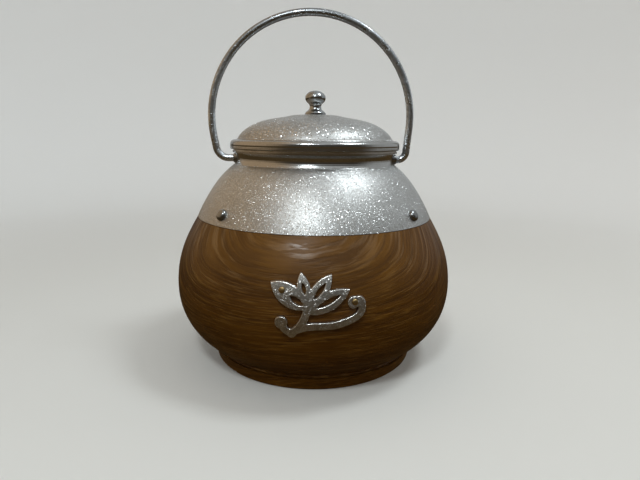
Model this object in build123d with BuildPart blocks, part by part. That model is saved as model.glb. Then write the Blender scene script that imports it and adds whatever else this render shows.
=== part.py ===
from build123d import *
from math import asin, cos, degrees, radians, sin, tan
import os

# Tea caddy: a turned wooden bowl under a pinned metal collar, with a spun liner, a lift-off
# lid and a swing handle of round wire.
# Millimetres, +Z up. The origin is on the turning axis at the underside of the foot, and the
# front, with the badge, faces -Y.

# Driving dimensions
belly_radius = 68
belly_height = 38
seam_radius = 57.4
seam_height = 70.9
neck_radius = 38.2
pivot_height = 97.9
lid_seat_height = 102.6
lid_radius = 41.2
dome_height = 118.9
knob_height = 11.4
wire_diameter = 3.5
arch_radius = 48.35
arch_centre_height = 117.2

# Wooden bowl and the felt under its foot
foot_radius = 51.2
foot_height = 6
foot_base_radius = 50
foot_rounding = 1.2
cove_depth = 1.2
cove_width = 1.6
cove_lead = 0.8
belly_low_point = (63.3, 20)
felt_radius = 44
felt_thickness = 1
felt_recess_depth = 1.2
felt_clearance = 0.2
shadow_gap = 0.25
spigot_top_radius = 44.5
spigot_top_height = 88
bore_clearance = 0.2
bore_floor_height = 13

# Collar and liner
collar_sheet = 1.2
shoulder_points = [(52.6, 80), (47.1, 88)]
neck_arc_radius = 3.9
neck_arc_height = 98.2
neck_arc_start = 233
neck_arc_end = 133
lip_radius = 40.1
liner_radius = 34.8
liner_sheet = 0.8
liner_rounding = 4
brim_inset = 0.3

# Lid and its locating ring
dome_sheet = 1.1
dome_base = (37.9, 107.1)
dome_middle = (32.5, 112.7)
dome_upper = (23.6, 116.3)
dome_crown = (14, 118)
pad_radius = 5.4
rim_wall_height = 2.3
rim_inner_radius = 37.3
rim_rounding = 0.4
ring_sheet = 0.8
ring_clearance = 0.4
ring_drop = 7
ring_flange_height = 104.4

# Knob, its screw and washer
knob_ball_radius = 5
knob_ball_height = 8.2
knob_waist_radius = 2.8
knob_waist_height = 4
knob_flare = (3.4, 2.4)
knob_flange_radius = 5.1
knob_flange_thickness = 0.9
knob_flange_step = 0.2
screw_radius = 1.5
screw_reach = 6
screw_clearance = 0.1
screw_head_radius = 2.9
screw_head_height = 1.8
slot_width = 0.8
slot_depth = 0.9
washer_radius = 3.8
washer_thickness = 0.6

# Handle and its bushes
arch_shift = -2.2
left_lean = 10.5
right_lean = 5
left_bend_radius = 6
right_bend_radius = 4
wire_head_radius = 2.3
wire_head_inner = 35.2
wire_head_outer = 35.95
running_clearance = 0.05
bush_inner_face = 36.05
bush_seat = 38.4
bush_nose_end = 40.2
bush_nose_radius = 2.25
bush_barrel_radius = 2.3
bush_flange_radius = 2.75

# Collar pins
pin_azimuths = {"front_left": 225, "front_right": 322, "back_right": 45, "back_left": 135}
pin_rise = 5
pin_head_radius = 2.65
pin_head_height = 2
pin_shank_radius = 1
pin_shank_length = 11

# Badge: a small cast tea sprig, leaves and a bud on a stem over a scroll. Its points are from its
# centre, and a slit is where along a leaf its vein is pierced.
badge_centre = (2.2, 45.2)
badge_thickness = 1.8
badge_gap = 0.05
badge_leaves = [
    ((-3.2, -0.6), (-18.2, 9), 8.4, (0.14, 0.5)),
    ((-3.8, 0.4), (-6.6, 12.9), 5, (0.34, 0.72)),
    ((-4, -0.4), (5.4, 12.3), 6.2, (0.26, 0.76)),
    ((-4.6, -2.4), (12.4, 6.6), 7, (0.24, 0.8)),
]
badge_strokes = [
    [(-3.9, 1), (-4.6, -3.4), (-6.8, -7.6), (-9.9, -10.4)],
    [(-9.9, -10.4), (-12.6, -8.9), (-14, -6.4)],
    [(-9.9, -10.4), (-3, -7.7), (6, -7.2), (13, -5.2), (17.2, -1.6), (16.6, 2.2), (14, 1.9)],
]
badge_stroke_width = 2.9
badge_slit_share = 0.3
badge_bosses = [((-14, -6.3), 2.5), ((-9.9, -10.4), 1.9), ((-13.4, 6), 2.3), ((14, 1.6), 2.3)]
badge_pins = {"left": (-13.4, 6), "right": (14, 1.6)}
badge_pin_head_radius = 1.25
badge_pin_head_height = 0.7
badge_pin_shank_radius = 0.6
badge_pin_shank_length = 8

wire_radius = wire_diameter / 2
lid_top = dome_height + knob_height
brim_height = lid_seat_height - liner_sheet
ring_radius = liner_radius - liner_sheet - ring_clearance
bush_bore_radius = wire_radius + running_clearance


def save(part, name):
    part.label = name
    export_step(part, f"parts/{name}.step")


def arc_point(centre, radius, angle):
    return (centre[0] + radius * cos(radians(angle)), centre[1] + radius * sin(radians(angle)))


def inner_side(edge, sheet):
    # the curve one sheet's thickness to the left of an outline
    places = [0, 0.25, 0.5, 0.75, 1]
    along = [edge.tangent_at(place) for place in places]
    points = [edge.position_at(place) for place in places]
    inside = [point + Vector(-way.Y, way.X) * sheet for point, way in zip(points, along)]
    return Spline(inside, tangents=[along[0], along[-1]])


os.makedirs("parts", exist_ok=True)

# Outlines, drawn with X as the radius and Y as the height: the belly from the foot's cove to
# the seam, and the shoulder from the seam to the neck.
cove_top = (foot_radius - cove_depth + cove_lead, foot_height + cove_width)
with BuildLine() as belly:
    Spline(cove_top, belly_low_point, (belly_radius, belly_height), tangents=[(1, 0.6), (0, 1)])
    Spline(
        (belly_radius, belly_height),
        (seam_radius, seam_height - shadow_gap),
        tangents=[(0, 1), (-0.6, 1)],
    )

neck_centre = (neck_radius + neck_arc_radius, neck_arc_height)
neck_start = arc_point(neck_centre, neck_arc_radius, neck_arc_start)
neck_end = arc_point(neck_centre, neck_arc_radius, neck_arc_end)
with BuildLine() as shoulder:
    Spline(
        [(seam_radius, seam_height)] + shoulder_points + [neck_start],
        tangents=[(-0.45, 1), (sin(radians(neck_arc_start)), -cos(radians(neck_arc_start)))],
    )


def on_collar(azimuth):
    # a plane on the metal just above the seam, its Z straight out of the surface
    edge = shoulder.line.edges()[0]
    place = pin_rise / edge.length
    point = edge.position_at(place)
    along = edge.tangent_at(place)
    return Plane(
        origin=Vector(point.X, 0, point.Y).rotate(Axis.Z, azimuth),
        x_dir=Vector(0, 1, 0).rotate(Axis.Z, azimuth),
        z_dir=Vector(along.Y, 0, -along.X).rotate(Axis.Z, azimuth),
    )


def on_belly(bowl, spot):
    # a plane on the belly's front behind a spot of the badge, its Z straight out of the wood
    sight = Axis((badge_centre[0] + spot[0], -2 * belly_radius, badge_centre[1] + spot[1]), (0, 1, 0))
    point, outward = bowl.find_intersection_points(sight)[0]
    return Plane(origin=point, x_dir=Vector(0, 0, 1).cross(outward), z_dir=outward)


def leaf_outline(base, tip, width):
    # two arcs that meet in points at a leaf's base and tip
    middle = (Vector(base) + Vector(tip)) / 2
    way = (Vector(tip) - Vector(base)).normalized()
    aside = Vector(-way.Y, way.X) * width / 2
    ThreePointArc(base, middle + aside, tip)
    ThreePointArc(tip, middle - aside, base)


def domed_pin(place, head_radius, head_height, shank_radius, shank_length):
    # a pin standing on a plane, its shank going in and its domed head outside
    axial = Plane(origin=place.origin, x_dir=place.x_dir, z_dir=place.x_dir.cross(place.z_dir))
    with BuildPart() as pin:
        with BuildSketch(axial):
            with BuildLine():
                Spline((0, head_height), (head_radius, 0), tangents=[(1, 0), (0, -1)])
                Polyline(
                    (head_radius, 0),
                    (shank_radius, 0),
                    (shank_radius, -shank_length),
                    (0, -shank_length),
                    (0, head_height),
                )
            make_face()
        revolve(axis=Axis(place.origin, place.z_dir))
    return pin.part


pin_planes = {name: on_collar(azimuth) for name, azimuth in pin_azimuths.items()}

# Wooden bowl: one turning, bored for the liner, with a tapered spigot that the collar fits over
# and a small cove between the belly and the foot.
with BuildPart() as wood_bowl:
    with BuildSketch(Plane.XZ):
        with BuildLine():
            Polyline(
                (0, bore_floor_height),
                (0, felt_recess_depth),
                (felt_radius, felt_recess_depth),
                (felt_radius, 0),
                (foot_base_radius, 0),
                (foot_radius, foot_height),
            )
            ThreePointArc(
                (foot_radius, foot_height),
                (foot_radius - cove_depth, foot_height + cove_width / 3),
                cove_top,
            )
            add(belly.line)
            Polyline(
                (seam_radius, seam_height - shadow_gap),
                (seam_radius - collar_sheet - shadow_gap, seam_height - shadow_gap),
                (spigot_top_radius, spigot_top_height),
                (liner_radius + bore_clearance, spigot_top_height),
                (liner_radius + bore_clearance, bore_floor_height),
                (0, bore_floor_height),
            )
        make_face()
    revolve(axis=Axis.Z)
    fillet(wood_bowl.edges().group_by(Axis.Z)[0].sort_by(SortBy.LENGTH)[-1], foot_rounding)
    badge_places = {name: on_belly(wood_bowl.part, spot) for name, spot in badge_pins.items()}
    for place in pin_planes.values():
        with BuildSketch(place):
            Circle(pin_shank_radius)
        extrude(amount=-pin_shank_length, mode=Mode.SUBTRACT)
    for place in badge_places.values():
        with BuildSketch(place):
            Circle(badge_pin_shank_radius)
        extrude(amount=badge_thickness - badge_pin_shank_length, mode=Mode.SUBTRACT)
save(wood_bowl.part, "wood_bowl")

# Felt: a disc glued in the foot's recess, just clear of the table.
with BuildPart() as felt:
    with BuildSketch(Plane.XY.offset(felt_recess_depth)):
        Circle(felt_radius - felt_clearance)
    extrude(amount=-felt_thickness)
save(felt.part, "base_felt")

# Badge: an openwork casting, curved to the belly. Its outline is drawn as seen from the front,
# leaves first, then the stem and the scroll under them, the bosses, and the slits of the veins.
badge_plane = Plane(origin=(badge_centre[0], 0, badge_centre[1]), x_dir=(1, 0, 0), z_dir=(0, -1, 0))
with BuildSketch(badge_plane) as badge_outline:
    for base, tip, width, slit in badge_leaves:
        with BuildLine():
            leaf_outline(base, tip, width)
        make_face()
    for stroke in badge_strokes:
        with BuildLine():
            Spline(stroke)
        trace(line_width=badge_stroke_width)
    for spot, radius in badge_bosses:
        with Locations(spot):
            Circle(radius)
    for base, tip, width, slit in badge_leaves:
        along = Vector(tip) - Vector(base)
        ends = [Vector(base) + along * share for share in slit]
        with BuildLine():
            leaf_outline(ends[0], ends[1], width * badge_slit_share)
        make_face(mode=Mode.SUBTRACT)
belly_skin = belly.line.moved(Location((badge_gap, 0, 0)))
badge_front = belly.line.moved(Location((badge_gap + badge_thickness, 0, 0)))
with BuildPart() as badge:
    with BuildSketch(Plane.XZ):
        with BuildLine():
            add(belly_skin)
            Line(belly_skin @ 1, badge_front @ 1)
            add(badge_front)
            Line(badge_front @ 0, belly_skin @ 0)
        make_face()
    revolve(axis=Axis.Z)
    extrude(badge_outline.sketch, amount=2 * belly_radius, mode=Mode.INTERSECT)
    for place in badge_places.values():
        with BuildSketch(place):
            Circle(badge_pin_shank_radius)
        extrude(amount=2 * badge_thickness, mode=Mode.SUBTRACT)
save(badge.part, "badge")

for name, place in badge_places.items():
    pin = domed_pin(
        place.offset(badge_gap + badge_thickness),
        badge_pin_head_radius,
        badge_pin_head_height,
        badge_pin_shank_radius,
        badge_pin_shank_length,
    )
    save(pin, f"badge_pin_{name}")

# Collar: one spun sheet, shoulder, neck and lip, drilled for its pins and for the bushes.
inner_arc_radius = neck_arc_radius + collar_sheet
mouth_angle = 180 - degrees(asin((brim_height - neck_arc_height) / inner_arc_radius))
mouth = arc_point(neck_centre, inner_arc_radius, mouth_angle)
inner_start = arc_point(neck_centre, inner_arc_radius, neck_arc_start)
inner_waist = (neck_radius - collar_sheet, neck_arc_height)
with BuildPart() as collar:
    with BuildSketch(Plane.XZ):
        with BuildLine():
            add(shoulder.line)
            ThreePointArc(neck_start, (neck_radius, neck_arc_height), neck_end)
            Polyline(neck_end, (lip_radius, neck_end[1]), (lip_radius, brim_height), mouth)
            ThreePointArc(mouth, inner_waist, inner_start)
            inside = inner_side(shoulder.line.edges()[0], collar_sheet)
            Line(inside @ 0, (seam_radius, seam_height))
        make_face()
    revolve(axis=Axis.Z)
    split(bisect_by=Plane.XY.offset(seam_height), keep=Keep.TOP)
    for place in pin_planes.values():
        with BuildSketch(place):
            Circle(pin_shank_radius + running_clearance)
        extrude(amount=2 * collar_sheet, both=True, mode=Mode.SUBTRACT)
    with BuildSketch(Plane.YZ):
        with Locations((0, pivot_height)):
            Circle(bush_barrel_radius)
    extrude(amount=lip_radius, both=True, mode=Mode.SUBTRACT)
save(collar.part, "shoulder_collar")

# Collar pins: domed nails through the metal into the wood.
for name, place in pin_planes.items():
    pin = domed_pin(place, pin_head_radius, pin_head_height, pin_shank_radius, pin_shank_length)
    save(pin, f"collar_pin_{name}")

# Liner: a spun cup in the bore, its brim turned out over the collar's lip.
brim_radius = lip_radius - brim_inset
with BuildPart() as liner:
    with BuildSketch(Plane.XZ) as liner_section:
        with BuildLine():
            Polyline(
                (0, bore_floor_height),
                (liner_radius, bore_floor_height),
                (liner_radius, brim_height),
                (brim_radius, brim_height),
                (brim_radius, lid_seat_height),
                (liner_radius - liner_sheet, lid_seat_height),
                (liner_radius - liner_sheet, bore_floor_height + liner_sheet),
                (0, bore_floor_height + liner_sheet),
                close=True,
            )
        make_face()
        corners = liner_section.vertices().group_by(Axis.Y)
        fillet(corners[0].sort_by(Axis.X)[-1], liner_rounding)
        fillet(corners[1].sort_by(Axis.X)[-1], liner_rounding - liner_sheet)
    revolve(axis=Axis.Z)
save(liner.part, "tea_liner")

# Bushes: the bearings of the handle, riveted through the neck and filed to its curve.
for name, side in {"left": -1, "right": 1}.items():
    with BuildPart() as bush:
        with BuildSketch(Plane.XZ):
            with BuildLine():
                Polyline(
                    (side * bush_inner_face, pivot_height + bush_bore_radius),
                    (side * bush_nose_end, pivot_height + bush_bore_radius),
                    (side * bush_nose_end, pivot_height + bush_nose_radius),
                    (side * bush_seat, pivot_height + bush_flange_radius),
                    (side * bush_inner_face, pivot_height + bush_flange_radius),
                    close=True,
                )
            make_face()
        revolve(axis=Axis((0, 0, pivot_height), (1, 0, 0)))
        add(collar.part, mode=Mode.SUBTRACT)
    save(bush.part, f"handle_bush_{name}")

# Lid: a spun dome with a thick rim that rests on the liner's brim, and a flat pad for the knob.
with BuildLine() as dome:
    Spline(
        dome_base,
        dome_middle,
        dome_upper,
        dome_crown,
        (pad_radius, dome_height),
        tangents=[(-0.5, 1), (-1, 0)],
    )
with BuildPart() as lid_shell:
    with BuildSketch(Plane.XZ) as lid_section:
        with BuildLine():
            Polyline(
                (rim_inner_radius, lid_seat_height),
                (lid_radius, lid_seat_height),
                (lid_radius, lid_seat_height + rim_wall_height),
            )
            Spline(
                (lid_radius, lid_seat_height + rim_wall_height),
                dome_base,
                tangents=[(0, 1), (-1, 0.12)],
            )
            add(dome.line)
            inside = inner_side(dome.line.edges()[0], dome_sheet)
            Polyline(
                (pad_radius, dome_height),
                (screw_radius + screw_clearance, dome_height),
                (screw_radius + screw_clearance, dome_height - dome_sheet),
                inside @ 1,
            )
            Polyline(
                inside @ 0,
                (rim_inner_radius, ring_flange_height + ring_sheet),
                (rim_inner_radius, lid_seat_height),
            )
        make_face()
        fillet(lid_section.vertices().sort_by(Axis.Y)[:2].sort_by(Axis.X)[-1], rim_rounding)
    revolve(axis=Axis.Z)
save(lid_shell.part, "lid_shell")

# Locating ring: soldered inside the rim, it drops into the liner's mouth.
with BuildPart() as lid_ring:
    with BuildSketch(Plane.XZ):
        with BuildLine():
            Polyline(
                (ring_radius - ring_sheet, lid_seat_height - ring_drop),
                (ring_radius, lid_seat_height - ring_drop),
                (ring_radius, ring_flange_height),
                (rim_inner_radius, ring_flange_height),
                (rim_inner_radius, ring_flange_height + ring_sheet),
                (ring_radius - ring_sheet, ring_flange_height + ring_sheet),
                close=True,
            )
        make_face()
    revolve(axis=Axis.Z)
save(lid_ring.part, "lid_ring")

# Knob: a turned ball on a waisted stem, with a blind hole for its screw.
knob_under_ball = (0.8 * knob_ball_radius, dome_height + 0.72 * knob_ball_height)
knob_over_ball = (0.8 * knob_ball_radius, lid_top - 0.12 * knob_height)
with BuildPart() as knob:
    with BuildSketch(Plane.XZ):
        with BuildLine():
            Polyline(
                (0, dome_height),
                (knob_flange_radius, dome_height),
                (knob_flange_radius, dome_height + knob_flange_thickness),
                (knob_flange_radius - knob_flange_step, dome_height + knob_flange_thickness),
            )
            Spline(
                (knob_flange_radius - knob_flange_step, dome_height + knob_flange_thickness),
                (knob_flare[0], dome_height + knob_flare[1]),
                (knob_waist_radius, dome_height + knob_waist_height),
                tangents=[(-0.5, 1), (0, 1)],
            )
            Spline(
                (knob_waist_radius, dome_height + knob_waist_height),
                knob_under_ball,
                (knob_ball_radius, dome_height + knob_ball_height),
                knob_over_ball,
                (0, lid_top),
                tangents=[(0, 1), (-1, 0)],
            )
            Line((0, lid_top), (0, dome_height))
        make_face()
    revolve(axis=Axis.Z)
    with BuildSketch(Plane.XY.offset(dome_height)):
        Circle(screw_radius)
    extrude(amount=screw_reach, mode=Mode.SUBTRACT)
save(knob.part, "lid_knob")

# Washer and screw: they hold the knob from inside the dome.
washer_top = dome_height - dome_sheet
with BuildPart() as washer:
    with BuildSketch(Plane.XY.offset(washer_top)):
        Circle(washer_radius)
        Circle(screw_radius + screw_clearance, mode=Mode.SUBTRACT)
    extrude(amount=-washer_thickness)
save(washer.part, "knob_washer")

screw_seat = washer_top - washer_thickness
with BuildPart() as screw:
    with BuildSketch(Plane.XY.offset(screw_seat)):
        Circle(screw_head_radius)
    extrude(amount=-screw_head_height)
    with BuildSketch(Plane.XY.offset(screw_seat)):
        Circle(screw_radius)
    extrude(amount=dome_height + screw_reach - screw_seat)
    fillet(screw.edges().group_by(Axis.Z)[0], screw_head_height / 3)
    with BuildSketch(Plane.XY.offset(screw_seat - screw_head_height)):
        Rectangle(2 * screw_head_radius, slot_width)
    extrude(amount=slot_depth, mode=Mode.SUBTRACT)
save(screw.part, "knob_screw")

# Handle: one length of round wire. The arch stands a little off centre, and each leg leans in
# before it turns into its bush. The ends are riveted over inside the neck.
arch_centre = (arch_shift, arch_centre_height)
left_foot = arc_point(arch_centre, arch_radius, 180 + left_lean)
right_foot = arc_point(arch_centre, arch_radius, -right_lean)
left_corner = left_foot[0] + (left_foot[1] - pivot_height) * tan(radians(left_lean))
right_corner = right_foot[0] - (right_foot[1] - pivot_height) * tan(radians(right_lean))
with BuildPart() as handle:
    with BuildLine(Plane.XZ) as wire:
        FilletPolyline(
            (-wire_head_inner, pivot_height),
            (left_corner, pivot_height),
            left_foot,
            radius=left_bend_radius,
        )
        ThreePointArc(left_foot, (arch_shift, arch_centre_height + arch_radius), right_foot)
        FilletPolyline(
            right_foot,
            (right_corner, pivot_height),
            (wire_head_inner, pivot_height),
            radius=right_bend_radius,
        )
    with BuildSketch(Plane.YZ.offset(-wire_head_inner)):
        with Locations((0, pivot_height)):
            Circle(wire_radius)
    sweep(path=wire.wires()[0])
    for side in (-1, 1):
        with BuildSketch(Plane.YZ.offset(side * wire_head_inner)):
            with Locations((0, pivot_height)):
                Circle(wire_head_radius)
        extrude(amount=side * (wire_head_outer - wire_head_inner))
save(handle.part, "bail_handle")
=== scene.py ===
from math import radians

import bmesh
import bpy
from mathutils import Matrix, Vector


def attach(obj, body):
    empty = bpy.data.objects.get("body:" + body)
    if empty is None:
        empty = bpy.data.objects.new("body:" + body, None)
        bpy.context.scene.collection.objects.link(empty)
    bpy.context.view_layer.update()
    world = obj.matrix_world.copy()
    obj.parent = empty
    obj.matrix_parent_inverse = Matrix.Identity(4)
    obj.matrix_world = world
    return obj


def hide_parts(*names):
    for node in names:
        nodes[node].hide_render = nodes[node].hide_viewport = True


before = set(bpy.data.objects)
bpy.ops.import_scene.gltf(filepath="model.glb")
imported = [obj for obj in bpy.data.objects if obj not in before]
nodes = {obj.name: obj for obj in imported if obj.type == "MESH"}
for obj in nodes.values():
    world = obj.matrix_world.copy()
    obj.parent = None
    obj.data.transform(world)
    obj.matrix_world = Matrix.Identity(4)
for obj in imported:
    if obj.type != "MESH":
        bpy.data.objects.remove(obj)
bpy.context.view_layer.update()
scene = bpy.context.scene
print("frame loaded:", len(nodes), "nodes")


class Wire:
    # a socket of a node tree: sums on it add Math nodes, and node() adds any other one
    def __init__(self, tree, socket=None):
        self.tree = tree
        self.socket = socket

    def node(self, kind, settings, inputs, output=0):
        made = self.tree.nodes.new("ShaderNode" + kind)
        for name, value in settings.items():
            setattr(made, name, value)
        for name, value in inputs.items():
            if isinstance(value, Wire):
                self.tree.links.new(value.socket, made.inputs[name])
            else:
                made.inputs[name].default_value = value
        return Wire(self.tree, made.outputs[output])

    def other(self, output):
        # another output of the same node
        return Wire(self.tree, self.socket.node.outputs[output])

    def maths(self, operation, *values):
        return self.node("Math", {"operation": operation}, dict(enumerate(values)))

    def __add__(self, value):
        return self.maths("ADD", self, value)

    def __sub__(self, value):
        return self.maths("SUBTRACT", self, value)

    def __mul__(self, value):
        return self.maths("MULTIPLY", self, value)

    def __truediv__(self, value):
        return self.maths("DIVIDE", self, value)

    def __pow__(self, value):
        return self.maths("POWER", self, value)

    def __radd__(self, value):
        return self.maths("ADD", value, self)

    def __rsub__(self, value):
        return self.maths("SUBTRACT", value, self)

    def __rmul__(self, value):
        return self.maths("MULTIPLY", value, self)

    def steps(self, low, high):
        # a smooth change from 0 to 1 as the value goes from low to high
        inputs = {"Value": self, "From Min": low, "From Max": high}
        return self.node("MapRange", {"interpolation_type": "SMOOTHSTEP"}, inputs)

    def mixed(self, first, second):
        # the first colour where this is 0 and the second where it is 1
        return self.node("Mix", {"data_type": "RGBA"}, {0: self, 6: first, 7: second}, output=2)

    def vector(self, operation, *values, output=0):
        return self.node("VectorMath", {"operation": operation}, dict(enumerate(values)), output)

    def noise(self, place, size, detail=2.0, rough=0.5, output=0):
        # blotches about so many metres across
        inputs = {"Vector": place, "Scale": 1 / size, "Detail": detail, "Roughness": rough}
        return self.node("TexNoise", {}, inputs, output)

    def bumped(self, height, depth):
        # a normal that leans as this height, times so many metres, would make it
        inputs = {"Height": height, "Distance": depth, "Strength": 1.0}
        return self.node("Bump", {}, inputs)

    def heightOf(self, place):
        return self.node("SeparateXYZ", {}, {"Vector": place}, output="Z")


def colour(red, green, blue):
    return (red, green, blue, 1.0)


def finish(name, build):
    # a material whose build function gives the sockets of one Principled shader
    material = bpy.data.materials.new(name)
    material.use_nodes = True
    tree = material.node_tree
    shader = tree.nodes["Principled BSDF"]
    wire = Wire(tree)
    place = wire.node("TexCoord", {}, {}, output="Object")
    for socket, value in build(wire, place).items():
        if isinstance(value, Wire):
            tree.links.new(value.socket, shader.inputs[socket])
        else:
            shader.inputs[socket].default_value = value
    return material


def wear(material, *names):
    for name in names:
        nodes[name].data.materials.clear()
        nodes[name].data.materials.append(material)


# Camera: at the front, a little above the lid, looking down at the caddy.
view = {
    "place": (0.0024, -0.2424, 0.1098),
    "down": 12.39,
    "lean": 0.7,
    "lens": 27.08,
    "nearest": 0.01,
}
cameraData = bpy.data.cameras.new("camera")
cameraData.lens = view["lens"]
cameraData.clip_start = view["nearest"]
camera = bpy.data.objects.new("camera", cameraData)
camera.location = view["place"]
camera.rotation_euler = (radians(90 - view["down"]), radians(-view["lean"]), 0)
scene.collection.objects.link(camera)
scene.camera = camera
scene.view_settings.view_transform = "Standard"
print("camera placed")


# Floor and surround: a pale flat floor that curves up into a pale wall all round.
surround = {
    "floorRadius": 0.5,
    "bendRadius": 0.3,
    "wallHeight": 1.3,
    "segments": 96,
    "bendSteps": 24,
    "paintFrom": 0.2,
    "paintTo": 0.75,
    "specular": 0.2,
    "floorColour": colour(0.7, 0.69, 0.66),
    "wallColour": colour(0.92, 0.925, 0.92),
    "glow": 0.05,
    "roughness": 0.75,
}


def paleBoard(wire, place):
    away = wire.vector("LENGTH", place, output="Value")
    away = away.steps(surround["paintFrom"], surround["paintTo"])
    paint = away.mixed(surround["floorColour"], surround["wallColour"])
    return {
        "Base Color": paint,
        "Emission Color": paint,
        "Emission Strength": surround["glow"],
        "Roughness": surround["roughness"],
        "Specular IOR Level": surround["specular"],
    }


def meshObject(name, mesh):
    data = bpy.data.meshes.new(name)
    mesh.to_mesh(data)
    mesh.free()
    for face in data.polygons:
        face.use_smooth = True
    made = bpy.data.objects.new(name, data)
    scene.collection.objects.link(made)
    return made


def makeSurround():
    floorMesh = bmesh.new()
    bmesh.ops.create_circle(
        floorMesh, cap_ends=True, segments=surround["segments"], radius=surround["floorRadius"]
    )
    floor = meshObject("floor", floorMesh)
    wallMesh = bmesh.new()
    start = wallMesh.verts.new((surround["floorRadius"], 0, 0))
    centre = (surround["floorRadius"], 0, surround["bendRadius"])
    turned = bmesh.ops.spin(
        wallMesh,
        geom=[start],
        cent=centre,
        axis=(0, 1, 0),
        angle=-radians(90),
        steps=surround["bendSteps"],
    )
    last = [item for item in turned["geom_last"] if isinstance(item, bmesh.types.BMVert)]
    risen = bmesh.ops.extrude_vert_indiv(wallMesh, verts=last)
    bmesh.ops.translate(wallMesh, verts=risen["verts"], vec=(0, 0, surround["wallHeight"]))
    bmesh.ops.spin(
        wallMesh,
        geom=wallMesh.verts[:] + wallMesh.edges[:],
        cent=(0, 0, 0),
        axis=(0, 0, 1),
        angle=radians(360),
        steps=surround["segments"],
        use_merge=True,
    )
    bmesh.ops.recalc_face_normals(wallMesh, faces=wallMesh.faces[:])
    wall = meshObject("surround", wallMesh)
    paint = finish("paleBoard", paleBoard)
    floor.data.materials.append(paint)
    wall.data.materials.append(paint)
    for board in (floor, wall):
        board.visible_glossy = False  # the metal mirrors the room below, not the boards
    floor.visible_diffuse = False


makeSurround()
print("floor and surround made")


# Light: two soft boxes, one high at the front and one overhead to the right. What the metal
# mirrors is a room: pale above and behind, dim in front, brown on the left and below.
lights = {
    "front box": {"way": (-0.13, -0.68, 0.72), "far": 0.62, "size": (0.1, 0.09), "watts": 1.2},
    "top box": {"way": (0.46, -0.06, 0.88), "far": 0.66, "size": (0.15, 0.14), "watts": 1.38},
}
lampColour = (0.89, 0.965, 1.0)
lampAim = (0, 0, 0.08)
room = {
    "behind": colour(0.46, 0.475, 0.475),
    "ceiling": colour(0.52, 0.535, 0.535),
    "front": colour(0.06, 0.052, 0.042),
    "left": colour(0.52, 0.375, 0.235),
    "table": colour(0.085, 0.055, 0.024),
    "leftWay": (-0.84, 0.13, 0.52),
    "strength": 0.95,
}


def makeLights():
    aim = Vector(lampAim)
    for name, values in lights.items():
        data = bpy.data.lights.new(name, "AREA")
        data.shape = "RECTANGLE"
        data.size, data.size_y = values["size"]
        data.energy = values["watts"]
        data.color = lampColour
        lamp = bpy.data.objects.new(name, data)
        away = Vector(values["way"]).normalized()
        lamp.location = aim + away * values["far"]
        lamp.rotation_euler = away.to_track_quat("Z", "Y").to_euler()
        scene.collection.objects.link(lamp)


def makeRoom():
    world = bpy.data.worlds.new("room")
    scene.world = world
    world.use_nodes = True
    tree = world.node_tree
    wire = Wire(tree)
    way = wire.node("TexCoord", {}, {}, output="Generated")
    parts = wire.node("SeparateXYZ", {}, {"Vector": way}, output="Y")
    up = parts.other("Z")
    toFront = parts.steps(0.1, -0.5)
    toLeft = wire.vector("DOT_PRODUCT", way, room["leftWay"], output="Value").steps(0.4, 0.92)
    shade = toFront.mixed(room["behind"], room["front"])
    shade = up.steps(0.35, 0.75).mixed(shade, room["ceiling"])
    shade = toLeft.mixed(shade, room["left"])
    shade = up.steps(0.02, -0.06).mixed(shade, room["table"])
    background = tree.nodes["Background"]
    tree.links.new(shade.socket, background.inputs["Color"])
    background.inputs["Strength"].default_value = room["strength"]


makeLights()
makeRoom()
print("lights made")


# Walnut: growth rings round a tilted pith behind the bowl, so that they cut the front in nested
# arcs under the seam, with fine dark lines and glossier fibres along them, whose lighter colour is
# partly the wood's own and partly a painted sheen.
walnut = {
    "tilt": 38.0,
    "pithBehind": 0.0112,
    "pithAside": -0.003,
    "barkRadius": 0.1001,
    "light": colour(0.165, 0.072, 0.0095),
    "middle": colour(0.094, 0.0345, 0.0022),
    "dark": colour(0.027, 0.008, 0.0004),
    "sheen": colour(0.3, 0.15, 0.028),
    "roughness": 0.4,
    "specular": 0.2,
    "gloss": 0.2,
    "sway": (0.0026, 0.0016, 0.0026),
    "swaySize": 0.05,
    "relief": 0.00006,
    "barkDepth": 0.012,
    "blotchSize": 0.04,
    # streaks: how thick, how far round the rings and how far up the trunk, detail, roughness
    "broad": (0.006, 0.9, 0.12, 3, 0.5),
    "rings": (0.0012, 0.5, 0.07, 3, 0.6),
    "fine": (0.00032, 0.22, 0.045, 2, 0.5),
    "fibres": (0.0004, 0.13, 0.03, 2, 0.55),
}


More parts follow.
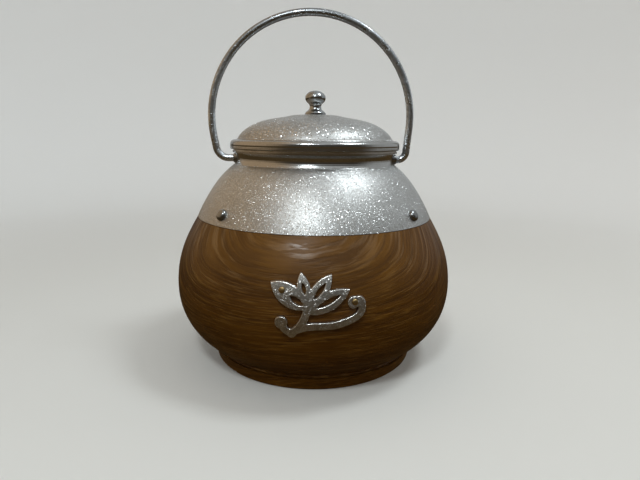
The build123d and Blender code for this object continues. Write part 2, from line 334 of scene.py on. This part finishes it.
def walnutBuild(wire, place):
    sway = wire.noise(place, walnut["swaySize"], 2, 0.4, output="Color")
    sway = wire.vector("SUBTRACT", sway, (0.5, 0.5, 0.5))
    sway = wire.vector("MULTIPLY", sway, walnut["sway"])
    bent = wire.vector("ADD", place, sway)
    log = wire.node(
        "Mapping",
        {"vector_type": "POINT"},
        {
            "Vector": bent,
            "Location": (walnut["pithAside"], -walnut["pithBehind"], 0),
            "Rotation": (radians(walnut["tilt"]), 0, 0),
        },
    )
    across = wire.node("SeparateXYZ", {}, {"Vector": log}, output="X")
    depth = across.other("Y")
    along = across.other("Z")
    radius = (across * across + depth * depth) ** 0.5
    turn = wire.maths("ARCTAN2", across, 0 - depth)

    def grain(streak):
        # streaks that lie in the rings
        ringSize, turnSize, length, detail, rough = walnut[streak]
        at = {"X": radius / ringSize, "Y": turn / turnSize, "Z": along / length}
        at = wire.node("CombineXYZ", {}, at)
        inputs = {"Vector": at, "Scale": 1.0, "Detail": detail, "Roughness": rough}
        return wire.node("TexNoise", {}, inputs)

    broad = grain("broad").steps(0.34, 0.66)
    rings = grain("rings").steps(0.36, 0.66)
    fine = grain("fine").steps(0.42, 0.62)
    fibres = grain("fibres").steps(0.52, 0.66)
    inner = (walnut["barkRadius"] - radius).steps(0.0, walnut["barkDepth"])
    blotch = wire.noise(place, walnut["blotchSize"], 4, 0.55).steps(0.35, 0.7)
    tone = (broad * 0.35 + inner * 0.65).mixed(walnut["light"], walnut["middle"])
    tone = (rings * 0.36).mixed(tone, walnut["dark"])
    tone = (fine * 0.32).mixed(tone, walnut["dark"])
    # partly painted sheen: the fibres are lifted towards a lighter colour, partly the grain's own
    # tone
    tone = (fibres * (0.16 + inner * 0.12)).mixed(tone, walnut["sheen"])
    tone = (blotch * 0.25).mixed(tone, walnut["dark"])
    bump = wire.bumped(fine * -0.6 - rings * 0.8 + fibres * 0.7, walnut["relief"])
    return {
        "Base Color": tone,
        "Roughness": walnut["roughness"] + fine * 0.12 - fibres * 0.08,
        "Specular IOR Level": walnut["specular"],
        "Normal": bump,
        "Coat Weight": fibres * (1 - inner * 0.75),
        "Coat Roughness": walnut["gloss"],
    }


wear(finish("walnut", walnutBuild), "wood_bowl")
print("walnut done")


# Frosted silver sheet: a smooth satin metal sown with tiny crystals, each turned its own way and
# coloured near white as a painted glint. They thin out on the neck and on the lid's rim, which are
# burnished.
frost = {
    "grain": 0.00022,
    "lidGrain": 0.00047,
    "share": 0.42,
    "tilt": 0.56,
    "colour": colour(0.51, 0.515, 0.51),
    "crystalGlint": colour(0.97, 0.98, 0.98),
    "dark": colour(0.37, 0.365, 0.35),
    "roughness": 0.43,
    "polish": 0.25,
    "lines": 0.00012,
    "neckHeight": 0.0968,
    "neckFade": 0.003,
    "rimHeight": 0.1078,
    "rimFade": 0.0008,
    "lineSize": 0.0007,
    "dullSize": 0.02,
    "mattSize": 0.0006,
}


def facets(wire, place, size, share, tilt):
    # a field of flat cells, of which a share are turned a random way: the height that turns
    # them, and where they are
    cell = wire.node("TexVoronoi", {}, {"Vector": place, "Scale": 1 / size}, output="Color")
    middle = cell.other("Position")
    offset = wire.vector("SUBTRACT", place, middle)
    lean = wire.vector("SUBTRACT", cell, (0.5, 0.5, 0.5))
    height = wire.vector("DOT_PRODUCT", offset, lean, output="Value")
    chance = wire.node("TexWhiteNoise", {}, {"Vector": middle}, output="Value")
    turned = chance.steps(1 - share, 1.0)
    return height * (turned * (2 * tilt)), turned


def frostedBuild(wire, place):
    height = wire.heightOf(place)
    onLid = height.steps(frost["rimHeight"] - frost["rimFade"], frost["rimHeight"])
    sown = onLid + height.steps(frost["neckHeight"], frost["neckHeight"] - frost["neckFade"])
    size = 1 + onLid * (frost["grain"] / frost["lidGrain"] - 1)
    field = wire.node("VectorMath", {"operation": "SCALE"}, {0: place, "Scale": size})
    small, bright = facets(wire, field, frost["grain"], frost["share"], frost["tilt"])
    dull = wire.noise(place, frost["dullSize"], 4, 0.6).steps(0.4, 0.75)
    matt = wire.noise(place, frost["mattSize"], 2, 0.6).steps(0.35, 0.65)
    tone = (dull * 0.4 + matt * 0.35 + onLid * 0.2).mixed(frost["colour"], frost["dark"])
    # painted glint: the turned crystals' colour is lifted towards near white, beside their real
    # tilt and gloss
    tone = (bright * sown * 0.85).mixed(tone, frost["crystalGlint"])
    rough = frost["roughness"] + dull * 0.04 - bright * sown * 0.22
    turning = wire.node("CombineXYZ", {}, {"Z": height})
    lines = wire.noise(turning, frost["lineSize"], 1, 0.5) * (1 - sown) * frost["lines"]
    return {
        "Base Color": tone,
        "Metallic": 1.0,
        "Roughness": rough - (1 - sown) * frost["polish"],
        "Normal": wire.bumped(small / size * (sown * 0.96 + 0.04) + lines, 1.0),
    }


frosted = finish("frostedSilverSheet", frostedBuild)
wear(frosted, "shoulder_collar", "lid_shell")
print("frosted silver done")


# Nickel and the other plain metals: fine pits and a patchy tarnish, each in its own tones. The
# wire is darkened towards its top with painted shade.
# heights where the painted shade on the wire's top begins and where it is full
shadeFrom, shadeTo = 0.125, 0.165
stainSize, fineStainSize, pitSize = 0.006, 0.0012, 0.0007
plainMetals = {
    "polishedNickel": {
        "bright": colour(0.5, 0.525, 0.54),
        "dark": colour(0.13, 0.132, 0.13),
        "roughness": 0.13,
        "tarnish": 0.55,
        "pits": 0.00002,
    },
    "drawnWire": {
        "bright": colour(0.7, 0.75, 0.79),
        "dark": colour(0.2, 0.205, 0.21),
        "roughness": 0.24,
        "tarnish": 0.85,
        "pits": 0.00008,
        # how strongly painted shade darkens the wire's top
        "paintedTopShade": 0.75,
    },
    "darkNickel": {
        "bright": colour(0.34, 0.35, 0.355),
        "dark": colour(0.1, 0.1, 0.098),
        "roughness": 0.18,
        "tarnish": 0.6,
        "pits": 0.00003,
    },
    "tinnedSheet": {
        "bright": colour(0.74, 0.73, 0.7),
        "dark": colour(0.45, 0.43, 0.39),
        "roughness": 0.34,
        "tarnish": 0.6,
        "pits": 0.00001,
    },
    "brass": {
        "bright": colour(0.5, 0.37, 0.17),
        "dark": colour(0.16, 0.1, 0.045),
        "roughness": 0.3,
        "tarnish": 0.7,
        "pits": 0.00003,
    },
    "zinc": {
        "bright": colour(0.55, 0.56, 0.57),
        "dark": colour(0.3, 0.3, 0.31),
        "roughness": 0.33,
        "tarnish": 0.5,
        "pits": 0.00002,
    },
}


def metalBuild(values):
    def build(wire, place):
        stain = wire.noise(place, stainSize, 5, 0.65).steps(0.38, 0.68)
        fineStain = wire.noise(place, fineStainSize, 3, 0.6).steps(0.45, 0.72)
        pits = wire.noise(place, pitSize, 2, 0.6).steps(0.55, 0.75)
        tarnish = (stain * 0.6 + fineStain * 0.4) * values["tarnish"]
        tone = tarnish.mixed(values["bright"], values["dark"])
        # painted shade: the wire is darkened towards its top
        if "paintedTopShade" in values:
            height = wire.heightOf(place)
            tone = (height.steps(shadeFrom, shadeTo) * values["paintedTopShade"]).mixed(tone, values["dark"])
        rough = values["roughness"] + stain * 0.12 + fineStain * 0.08
        return {
            "Base Color": tone,
            "Metallic": 1.0,
            "Roughness": rough,
            "Normal": wire.bumped(1 - pits, values["pits"]),
        }

    return build


metals = {name: finish(name, metalBuild(values)) for name, values in plainMetals.items()}
wear(metals["polishedNickel"], "lid_knob")
wear(metals["drawnWire"], "bail_handle")
wear(
    metals["darkNickel"],
    "collar_pin_front_left",
    "collar_pin_front_right",
    "collar_pin_back_right",
    "collar_pin_back_left",
    "handle_bush_left",
    "handle_bush_right",
)
wear(metals["tinnedSheet"], "tea_liner", "lid_ring")
wear(metals["brass"], "badge_pin_left", "badge_pin_right", "knob_washer")
wear(metals["zinc"], "knob_screw")
print("nickel, tin, brass and zinc done")


# Cast pewter: sandy on its face, rubbed bright on its edges.
pewter = {
    "face": colour(0.56, 0.555, 0.53),
    "dark": colour(0.26, 0.245, 0.215),
    "edge": colour(0.8, 0.8, 0.78),
    "grain": 0.00036,
    "share": 0.5,
    "tilt": 0.4,
    "middleHeight": 0.037,
    "skin": 0.0002,
    "softening": 3,
    "weld": 0.000002,
    "stainSize": 0.004,
}


def pewterBuild(wire, place):
    height, chance = facets(wire, place, pewter["grain"], pewter["share"], pewter["tilt"])
    stain = wire.noise(place, pewter["stainSize"], 4, 0.6).steps(0.4, 0.7)
    outward = wire.vector("SUBTRACT", place, (0, 0, pewter["middleHeight"]))
    outward = wire.vector("NORMALIZE", outward)
    normal = wire.node("NewGeometry", {}, {}, output="Normal")
    facing = wire.vector("DOT_PRODUCT", normal, outward, output="Value")
    edge = facing.steps(0.985, 0.9) * facing.steps(0.1, 0.5)
    tone = (stain * 0.5).mixed(pewter["face"], pewter["dark"])
    tone = (chance * 0.7 + edge).mixed(tone, pewter["edge"])
    return {
        "Base Color": tone,
        "Metallic": 1.0,
        "Roughness": 0.36 - edge * 0.16 + stain * 0.06,
        "Normal": wire.bumped(height * (1 - edge * 0.85), 1.0),
    }


def makeBadge():
    # the sprig's plate with a cast skin: its corners run soft, as sand casting leaves them
    sprig = bmesh.new()
    sprig.from_mesh(nodes["badge"].data)
    bmesh.ops.remove_doubles(sprig, verts=sprig.verts[:], dist=pewter["weld"])
    piece = meshObject("badge_casting", sprig)
    skin = piece.modifiers.new("cast skin", "REMESH")
    skin.mode = "VOXEL"
    skin.voxel_size = pewter["skin"]
    skin.use_smooth_shade = True
    corners = piece.modifiers.new("soft corners", "SMOOTH")
    corners.factor = 0.5
    corners.iterations = pewter["softening"]
    piece.data.materials.clear()
    piece.data.materials.append(finish("castPewter", pewterBuild))
    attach(piece, "caddy")
    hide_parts("badge")


makeBadge()
print("pewter done")


# Felt: short matted wool.
felt = {
    "light": colour(0.06, 0.17, 0.1),
    "dark": colour(0.02, 0.07, 0.04),
    "wool": 0.0009,
    "roughness": 0.95,
    "specular": 0.1,
    "sheen": 0.3,
    "nap": 0.0004,
    "patchSize": 0.012,
}


def feltBuild(wire, place):
    wool = wire.noise(place, felt["wool"], 6, 0.7)
    patch = wire.noise(place, felt["patchSize"], 3, 0.5)
    tone = (wool * 0.6 + patch * 0.4).steps(0.35, 0.65).mixed(felt["light"], felt["dark"])
    return {
        "Base Color": tone,
        "Roughness": felt["roughness"],
        "Specular IOR Level": felt["specular"],
        "Sheen Weight": felt["sheen"],
        "Normal": wire.bumped(wool, felt["nap"]),
    }


wear(finish("greenFelt", feltBuild), "base_felt")
print("felt done")
